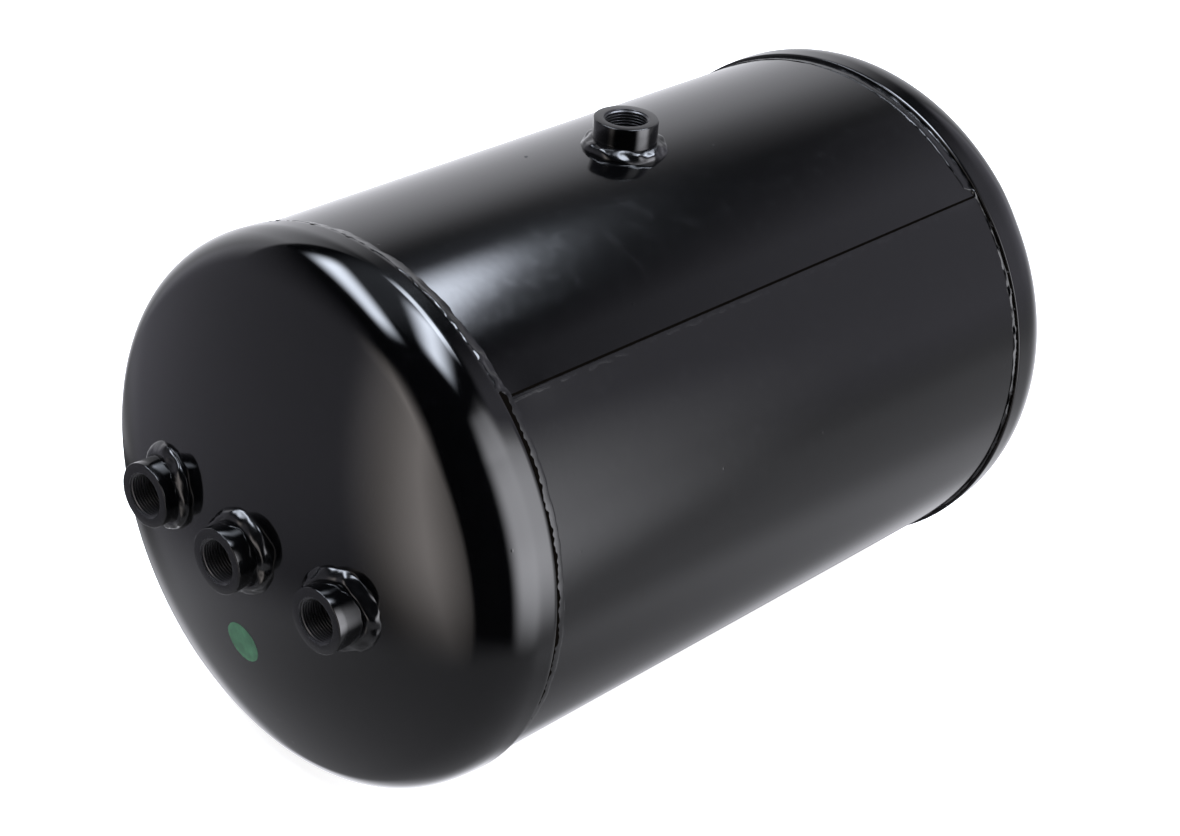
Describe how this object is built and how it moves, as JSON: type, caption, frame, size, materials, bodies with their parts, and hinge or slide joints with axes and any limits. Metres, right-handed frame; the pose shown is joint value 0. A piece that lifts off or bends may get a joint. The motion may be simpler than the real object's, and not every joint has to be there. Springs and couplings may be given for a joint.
{
  "type": "compressed air reservoir",
  "caption": "Cylindrical welded steel air tank with dished heads lapped over a rolled shell, threaded port bosses on one head and a drain boss on the shell.",
  "frame": {"origin": "middle of the base of the whole object's box: under the tank's axis, halfway between the centre boss's face and the rear crown", "axes": "+Y along the tank's axis from the ported front head to the rear head, +Z along the shell boss, +X to the right seen from the front"},
  "size_m": [0.276, 0.4896, 0.2884],
  "materials": {
    "shell_paint": "gloss black paint over rolled sheet steel",
    "head_paint": "gloss black paint over pressed steel",
    "weld_paint": "gloss black paint over a rippled weld bead",
    "boss_paint": "gloss black paint over turned steel, thin in the thread",
    "sticker_face": "green paper dot, slightly shiny"
  },
  "bodies": {
    "root": {"shell": "shell_paint", "seam_weld": "weld_paint", "front_head": "head_paint", "rear_head": "head_paint", "front_girth_weld": "weld_paint", "rear_girth_weld": "weld_paint", "port_boss_left": "boss_paint", "port_boss_centre": "boss_paint", "port_boss_right": "boss_paint", "port_weld_left": "weld_paint", "port_weld_centre": "weld_paint", "port_weld_right": "weld_paint", "drain_boss": "boss_paint", "drain_weld": "weld_paint", "inspection_sticker": "sticker_face"}
  },
  "joints": []
}
